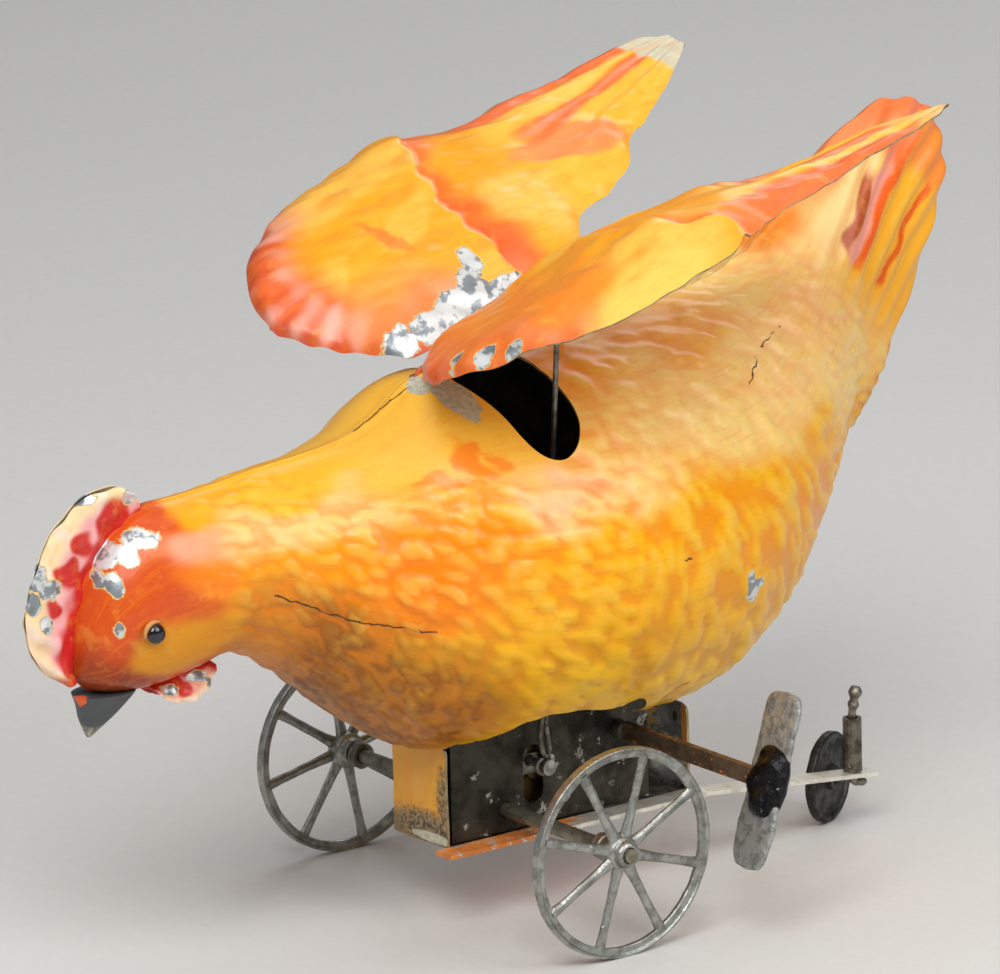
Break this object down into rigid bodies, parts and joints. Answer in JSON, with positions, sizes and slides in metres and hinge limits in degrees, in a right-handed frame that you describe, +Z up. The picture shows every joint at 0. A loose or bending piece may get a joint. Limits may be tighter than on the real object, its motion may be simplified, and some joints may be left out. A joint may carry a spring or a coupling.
{
  "type": "clockwork tin hen",
  "caption": "Clockwork tin hen on two spoked wheels and a steered tail wheel, with wings that rods lift from the clockwork in its belly.",
  "frame": {"origin": "on the underside of the carriage, on the hen's mid plane, straight below the front axle; the floor is 16.6 mm lower", "axes": "+Z up, the hen faces -Y, its left side (the key side) is +X"},
  "size_m": [0.1276, 0.2407, 0.1662],
  "materials": {
    "yellow_paint": "hand-painted yellow-orange oil paint over pressed tinplate, brush marks, worn to bare tin in places",
    "red_paint": "hand-painted red and pink over crimped tinplate",
    "beak_paint": "slate grey paint, bare at the tip",
    "black_glass": "glossy black bead",
    "cast_metal": "grey cast white metal, satin, slightly oxidised",
    "dark_tin": "dark mottled tinplate, tarnished",
    "steel_wire": "drawn steel wire, tarnished",
    "clock_brass": "old brass, satin",
    "blue_steel": "hardened spring steel, dark and oily"
  },
  "bodies": {
    "carriage": {"body_half_left": "yellow_paint", "body_half_right": "yellow_paint", "comb": "red_paint", "wattle_left": "red_paint", "wattle_right": "red_paint", "beak": "beak_paint", "eye_left": "black_glass", "eye_right": "black_glass", "wing_hinge_wire": "steel_wire", "carriage_frame": "yellow_paint", "clockwork_plate_left": "dark_tin", "clockwork_plate_right": "dark_tin", "clockwork_pillar_1": "clock_brass", "clockwork_pillar_2": "clock_brass", "clockwork_pillar_3": "clock_brass", "clockwork_pillar_4": "clock_brass", "steering_strip": "yellow_paint", "steering_tube": "dark_tin", "mainspring": "blue_steel"},
    "wing_left": {"wing_left": "yellow_paint", "wing_lug_left": "dark_tin"},
    "wing_right": {"wing_right": "yellow_paint", "wing_lug_right": "dark_tin"},
    "lifter": {"lifter_stirrup": "dark_tin", "lifter_pin_left": "steel_wire", "lifter_pin_right": "steel_wire", "pushrod_left": "steel_wire", "pushrod_right": "steel_wire"},
    "axle": {"front_axle": "cast_metal", "front_wheel_left": "cast_metal", "front_wheel_right": "cast_metal", "axle_collar_left": "cast_metal", "axle_collar_right": "cast_metal", "axle_pinion": "clock_brass"},
    "second_train": {"second_arbor": "steel_wire", "second_wheel": "clock_brass", "second_pinion": "clock_brass", "crank_disc": "clock_brass"},
    "great_train": {"great_wheel": "clock_brass", "click_spring": "blue_steel"},
    "click": {"click": "blue_steel"},
    "key": {"winding_arbor": "steel_wire", "ratchet_wheel": "clock_brass", "key_shank": "dark_tin", "key_collar": "blue_steel", "key_blade": "dark_tin"},
    "steering": {"steering_wire": "steel_wire"},
    "rear_wheel": {"rear_wheel": "dark_tin"}
  },
  "joints": [
    {"name": "wing_left_flap", "type": "hinge", "parent": "carriage", "child": "wing_left", "pos_m": [0, -0.014, 0.1015], "axis": [0, -0.9548, -0.2974], "range_deg": [-17, 3.3]},
    {"name": "wing_right_flap", "type": "hinge", "parent": "carriage", "child": "wing_right", "pos_m": [0, -0.014, 0.1015], "axis": [0, 0.9548, 0.2974], "range_deg": [-17, 3.3]},
    {"name": "lifter_rise", "type": "slide", "parent": "carriage", "child": "lifter", "axis": [0, 0, 1], "range_m": [-0.0066, 0.0013]},
    {"name": "axle_spin", "type": "hinge", "parent": "carriage", "child": "axle", "pos_m": [0, 0, 0.0059], "axis": [1, 0, 0], "continuous": true},
    {"name": "second_train_spin", "type": "hinge", "parent": "carriage", "child": "second_train", "pos_m": [0, 0.01187, 0.01473], "axis": [1, 0, 0], "continuous": true},
    {"name": "great_train_spin", "type": "hinge", "parent": "carriage", "child": "great_train", "pos_m": [0, 0.03, 0.0179], "axis": [1, 0, 0], "continuous": true},
    {"name": "click_lift", "type": "hinge", "parent": "great_train", "child": "click", "pos_m": [0, 0.0362, 0.0255], "axis": [-1, 0, 0], "range_deg": [0, 10]},
    {"name": "key_wind", "type": "hinge", "parent": "carriage", "child": "key", "pos_m": [0, 0.03, 0.0179], "axis": [1, 0, 0], "continuous": true},
    {"name": "steering_swivel", "type": "hinge", "parent": "carriage", "child": "steering", "pos_m": [0.0123, 0.0912, 0], "axis": [0, 0, 1], "range_deg": [-56, 1.5]},
    {"name": "rear_wheel_spin", "type": "hinge", "parent": "steering", "child": "rear_wheel", "pos_m": [0.00421, 0.09086, -0.0066], "axis": [-0.8988, -0.4384, 0], "continuous": true}
  ],
  "couplings": [
    {"joint": "wing_right_flap", "follows": "wing_left_flap", "ratio": 1},
    {"joint": "lifter_rise", "follows": "wing_left_flap", "m_per_rad": 0.022},
    {"joint": "second_train_spin", "follows": "axle_spin", "ratio": -0.42308},
    {"joint": "great_train_spin", "follows": "axle_spin", "ratio": 0.11752}
  ]
}
